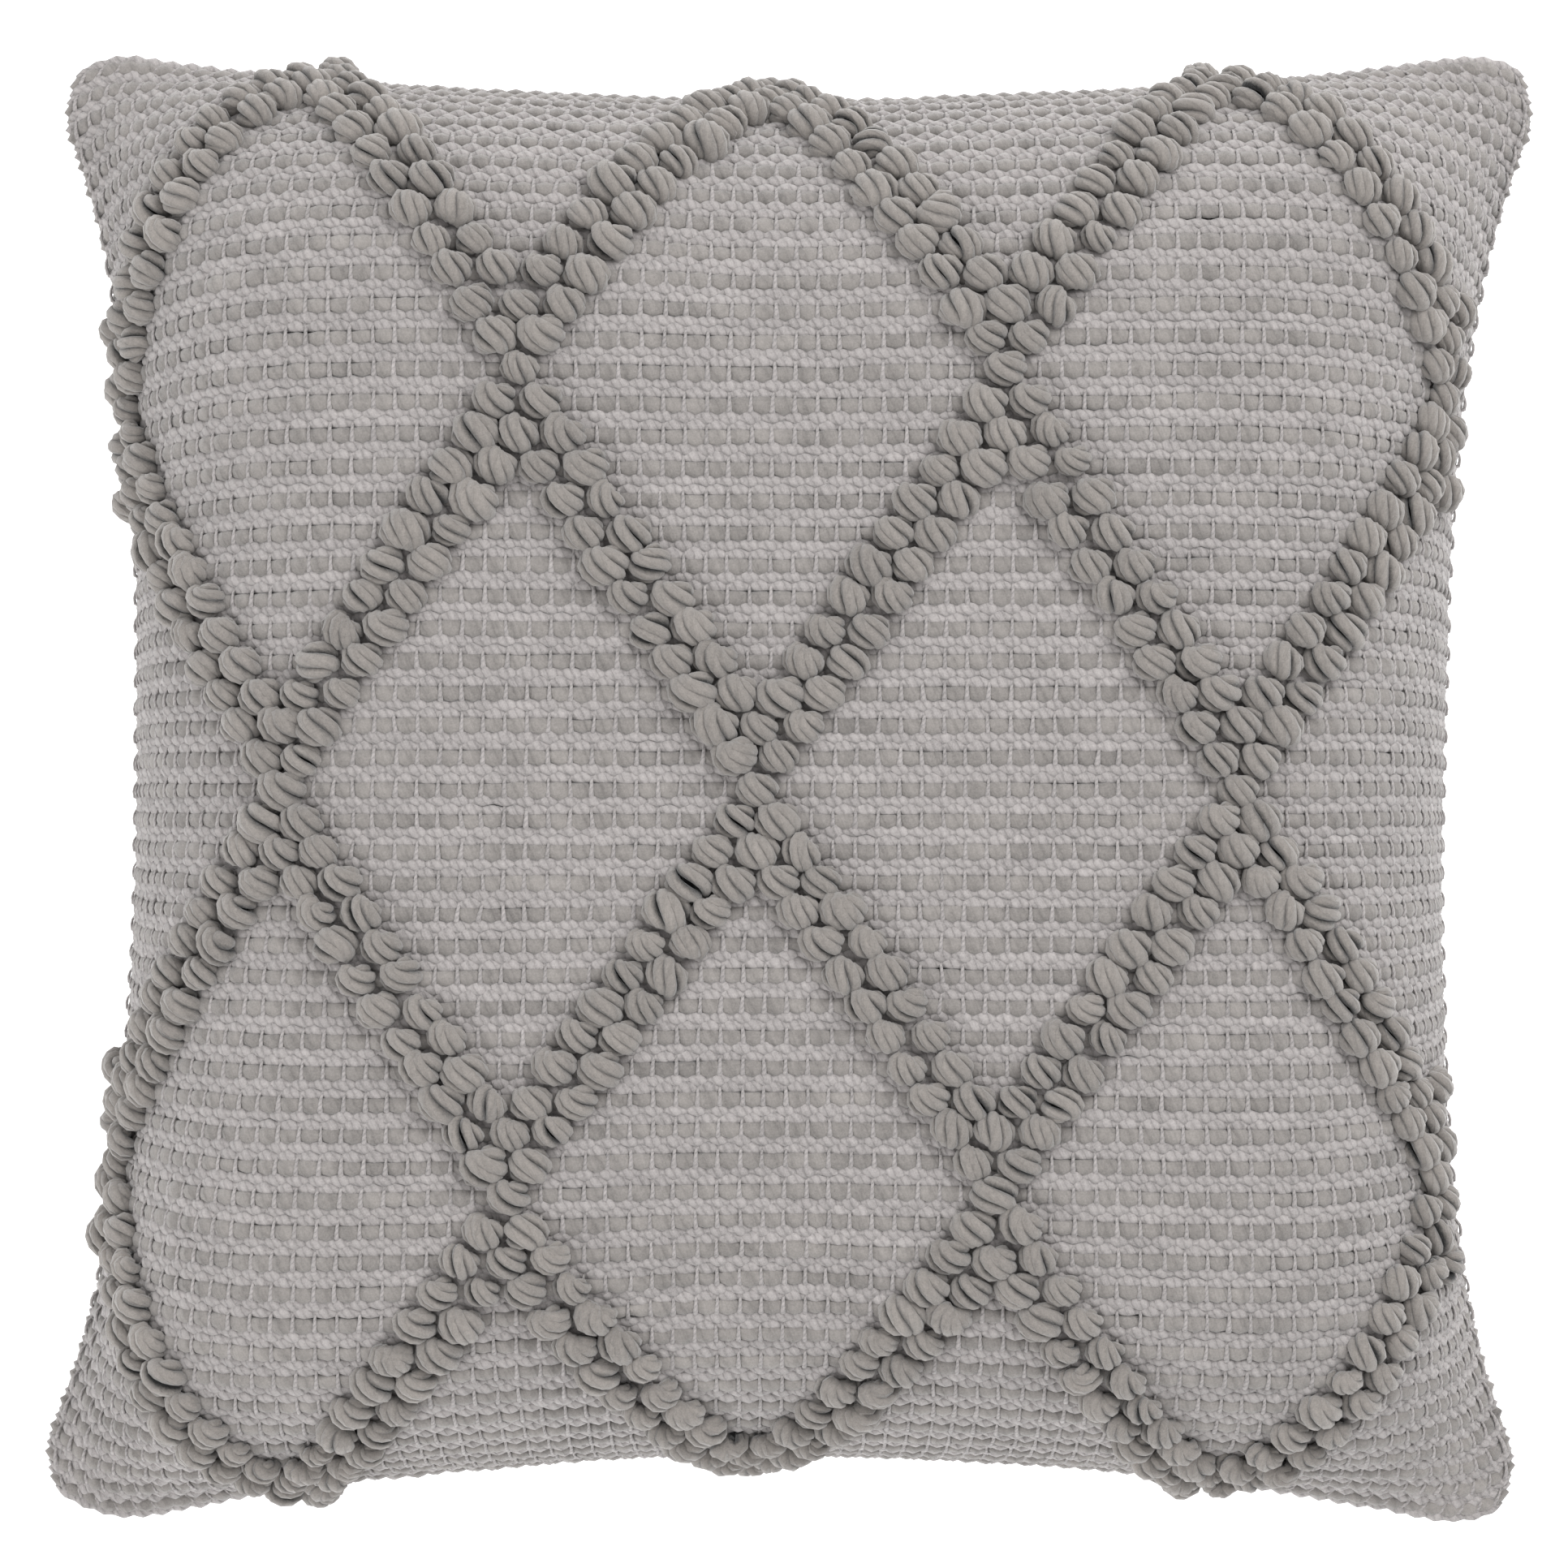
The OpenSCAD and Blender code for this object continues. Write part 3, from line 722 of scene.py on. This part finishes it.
def loop_line(name, m, side, seed, samples=12, sides=8):
    """The loops of one line. Each is a short thick cord of twisted plies that arches out of the
    cloth and back into it."""
    rng = np.random.default_rng(SEED + seed)
    places = np.array(loop_places(m, side))
    n = len(places)
    places = places + rng.normal(0, 0.05, places.shape)
    foot, ex, ey, ez = loop_stance(rng, places)
    size = (1 + rng.normal(0, 0.07, n))[:, None, None]
    bend = np.linspace(-ARCH_TURN, ARCH_TURN, samples)
    squeeze = 1 - 0.30 * np.maximum(0, (np.abs(bend) - 1.2) / 0.8) ** 2
    sin_bend, cos_bend = np.sin(bend)[:, None], np.cos(bend)[:, None]
    arch_x = ARCH_WIDE * size * sin_bend
    arch_z = ARCH_LIFT + ARCH_HIGH * size * cos_bend
    axis = foot[:, None] + ex[:, None] * arch_x + ez[:, None] * arch_z
    out = ex[:, None] * sin_bend + ez[:, None] * cos_bend
    twist = rng.normal(PLY_TWIST, 0.22, n)[:, None, None]
    start = rng.uniform(0, 2 * np.pi, n)[:, None, None]
    ply = np.arange(PLIES)[None, :, None] * 2 * np.pi / PLIES
    angle = start + ply + twist * bend + rng.normal(0, 0.13, (n, PLIES, 1))
    radial = out[:, None] * np.cos(angle)[..., None]
    sideways = ey[:, None, None] * np.sin(angle)[..., None]
    reach = (radial * PLY_UP + sideways * PLY_SIDE) * squeeze[:, None] * size[:, None]
    path = axis[:, None] + reach
    normal = unit(radial + sideways)
    fat = (PLY_R + rng.normal(0, 0.14, (n, PLIES, 1))) * squeeze * size
    tone_and_shade = np.repeat(rng.normal(0, 0.8, n), PLIES) + rng.normal(0, 0.4, n * PLIES)
    # Painted shade: each loop is darker towards its foot, where the cloth shades it
    tone_and_shade = tone_and_shade[:, None] - FOOT_SHADE * np.abs(bend / 2) ** 3
    flat = (n * PLIES, samples)
    return tubes(name, path.reshape(*flat, 3), normal.reshape(*flat, 3), fat.reshape(flat),
                 fat.reshape(flat) * 0.95, sides, tone_and_shade, painted_crease_shade=PLY_CREASE_SHADE)


def trellis():
    """Eight zigzag lines, each given by its starting column, counted in trellis periods from the
    middle, and the side it swings to."""
    # Its last number before sheen sets the painted shade in the ply grooves
    yarn = yarn_material("loop yarn", LOOP_YARN, 0.05, 3, 9.0, 0.10, sheen=0.4)
    lines = [(-2, 1), (-1, -1), (-1, 1), (0, -1), (0, 1), (1, -1), (1, 1), (2, -1)]
    for i, (m, side) in enumerate(lines, 1):
        dress(loop_line(f"loops_{i}", m, side, 100 + i), yarn, f"loop_line_{i}")


# ---------------------------------------------------------------- the plain cloth layers

def rim(nu, i0, i1, j0, j1):
    """Point numbers round a rectangle of the grid."""
    return ([j0 * nu + i for i in range(i0, i1)] + [j * nu + i1 for j in range(j0, j1)]
            + [j1 * nu + i for i in range(i1, i0, -1)] + [j * nu + i0 for j in range(j1, j0, -1)])


def wall(path, n):
    """Faces that join a closed path on the upper layer to the same path on the lower one."""
    p = np.array(path)
    q = np.roll(p, -1)
    return np.stack([q, p, n + p, n + q], -1)


def skin(name, us, vs, upper, lower, hole=None):
    """A closed sheet between an upper and a lower layer, with an optional hole through it."""
    nu, nv = len(us), len(vs)
    n = nu * nv
    j, i = np.meshgrid(np.arange(nv - 1), np.arange(nu - 1), indexing="ij")
    keep = np.ones(j.shape, bool)
    if hole:
        keep = ~((i >= hole[0]) & (i < hole[1]) & (j >= hole[2]) & (j < hole[3]))
    p = (j * nu + i)[keep]
    top = np.stack([p, p + 1, p + nu + 1, p + nu], -1)
    faces = [top, top[:, ::-1] + n, wall(rim(nu, 0, nu - 1, 0, nv - 1), n)]
    if hole:
        faces.append(wall(rim(nu, *hole)[::-1], n))
    used = np.zeros(2 * n, bool)
    faces = np.concatenate(faces)
    used[faces.reshape(-1)] = True
    renumber = np.cumsum(used) - 1
    points = np.concatenate([upper.reshape(-1, 3), lower.reshape(-1, 3)])[used]
    return make_mesh(name, points, [renumber[faces]])


def grid_lines(stops, cells):
    """Grid lines from stop to stop, with so many cells between each two."""
    lines = [np.linspace(a, b, n + 1)[:-1] for a, b, n in zip(stops, stops[1:], cells)]
    return np.concatenate(lines + [stops[-1:]])


def plain_sheet(name, cells, upper, lower):
    """A closed sheet of the cover's shape. upper and lower each give the side, inset, crown_in
    and lift of one face of it."""
    line = np.linspace(-1, 1, cells + 1)
    v, u = np.meshgrid(line, line, indexing="ij")
    layers = []
    for side, inset, crown_in, lift in (upper, lower):
        points = layer(u, v, side, inset, crown_in, lift) + fold_at(side, u, v)
        points[..., 2] = np.maximum(points[..., 2], 0.0 if side > 0 else crown_in)
        layers.append(points)
    return skin(name, line, line, *layers)


def front_ground():
    """The dark ground that shows between the yarns of the face."""
    ground = plain_sheet("front_ground", 106, (1, 1.9, 1.9, 0.8), (1, 2.8, 2.8, 0.0))
    look = woven_material("ground", tuple(c * 0.8 for c in CORD_YARN))
    dress(ground, look, "front_panel")


def back_cloth():
    """The plain back, with the zipper window through it."""
    window_v = [-1 + d / (CLOTH_W / 2) for d in (WINDOW_TOP, WINDOW_BOTTOM)]
    us = grid_lines([-1, -WINDOW_U, WINDOW_U, 1], BACK_CELLS_X)
    vs = grid_lines([-1, *window_v, 1], BACK_CELLS_Y)
    hole = (BACK_CELLS_X[0], BACK_CELLS_X[0] + BACK_CELLS_X[1],
            BACK_CELLS_Y[0], BACK_CELLS_Y[0] + BACK_CELLS_Y[1])
    v, u = np.meshgrid(vs, us, indexing="ij")
    back = skin("back_cloth", us, vs, back_layer(u, v, 1.5, 0.0), back_layer(u, v, 0.0, RIM_LIFT), hole)
    dress(back, woven_material("back cloth", BACK_CLOTH), "back_panel")


def insert():
    """The white inner cushion and its fibre fill."""
    white = woven_material("insert cloth", (0.58, 0.57, 0.55), 0.6)
    front = plain_sheet("insert_front", 40, (1, 11, 3.9, 0.7), (1, 12, 4.9, 0.0))
    back = plain_sheet("insert_back", 40, (-1, 12, 3.4, 0.0), (-1, 11, 2.4, 0.7))
    dress(front, white, "insert_cover_front")
    dress(back, white, "insert_cover_back")
    fill = plain_sheet("fibre", 40, (1, 13, 6.0, 0.4), (-1, 13, 4.6, 0.4))
    dress(fill, woven_material("fibre", (0.86, 0.86, 0.84), 2.5, 0.5, 0.001), "fibre_fill")


EASED_EDGE = 0.12


def hardware():
    """Looks of the zipper, the threads and the seam allowance, which keep their CAD shapes."""
    tape = woven_material("zip tape", (0.21, 0.196, 0.182), 0.5)
    thread = woven_material("sewing thread", (0.44, 0.42, 0.40), 0.4)
    resin = hard_material("tooth resin", (0.20, 0.187, 0.17), 0.0, 0.45)
    metal = hard_material("zip metal", (0.36, 0.345, 0.33), 0.85, 0.38)
    looks = {"zip_tape_upper": tape, "zip_tape_lower": tape, "zip_stitches": thread, "seam_thread": thread,
             "insert_thread": thread, "zip_teeth_upper": resin, "zip_teeth_lower": resin,
             "zip_top_stops": metal, "zip_bottom_stop": metal, "slider_body": metal, "slider_pull": metal,
             "seam_allowance": woven_material("allowance", BACK_CLOTH)}
    for node, material in looks.items():
        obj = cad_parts[node]
        set_material(obj, material)
        if node.startswith(("zip_", "slider")):
            bevel = obj.modifiers.new("edges", "BEVEL")
            bevel.width = EASED_EDGE * MM
            bevel.segments = 2
            bevel.limit_method = "ANGLE"


# ---------------------------------------------------------------- studio

def area_light(name, where, target, size, power):
    light = bpy.data.lights.new(name, "AREA")
    light.shape = "DISK"
    light.size = size
    light.energy = power
    obj = bpy.data.objects.new(name, light)
    obj.location = where
    direction = Vector(target) - Vector(where)
    obj.rotation_euler = direction.to_track_quat("-Z", "Y").to_euler()
    bpy.context.scene.collection.objects.link(obj)


def studio():
    bpy.ops.mesh.primitive_plane_add(size=8)
    floor = bpy.context.object
    floor.name = "floor"
    floor.data.materials.append(floor_material())
    middle = (0, 0, 0.07)
    area_light("key", (1.2, 1.5, 1.9), middle, 2.0, 66)
    area_light("fill", (-1.4, -1.3, 1.6), middle, 3.0, 50)
    world = bpy.data.worlds.new("studio")
    world.use_nodes = True
    background = world.node_tree.nodes["Background"].inputs
    background["Color"].default_value = (1, 1, 1, 1)
    background["Strength"].default_value = 0.76
    bpy.context.scene.world = world
    bpy.context.scene.view_settings.view_transform = "Standard"


SENSOR = 36.0
VIEW_DISTANCE = 2.4
VIEW_WIDTH = 0.4953
VIEW_SHIFT = (-0.0018, 0.0018)


def camera():
    """Looks straight down on the face and takes in VIEW_WIDTH metres at the height of the seam."""
    lens = bpy.data.cameras.new("camera")
    lens.sensor_width = SENSOR
    lens.lens = SENSOR * VIEW_DISTANCE / VIEW_WIDTH
    lens.clip_end = 20
    obj = bpy.data.objects.new("camera", lens)
    obj.location = (*VIEW_SHIFT, SEAM_Z * MM + VIEW_DISTANCE)
    bpy.context.scene.collection.objects.link(obj)
    bpy.context.scene.camera = obj


woven_face()
trellis()
front_ground()
back_cloth()
insert()
hardware()
studio()
camera()
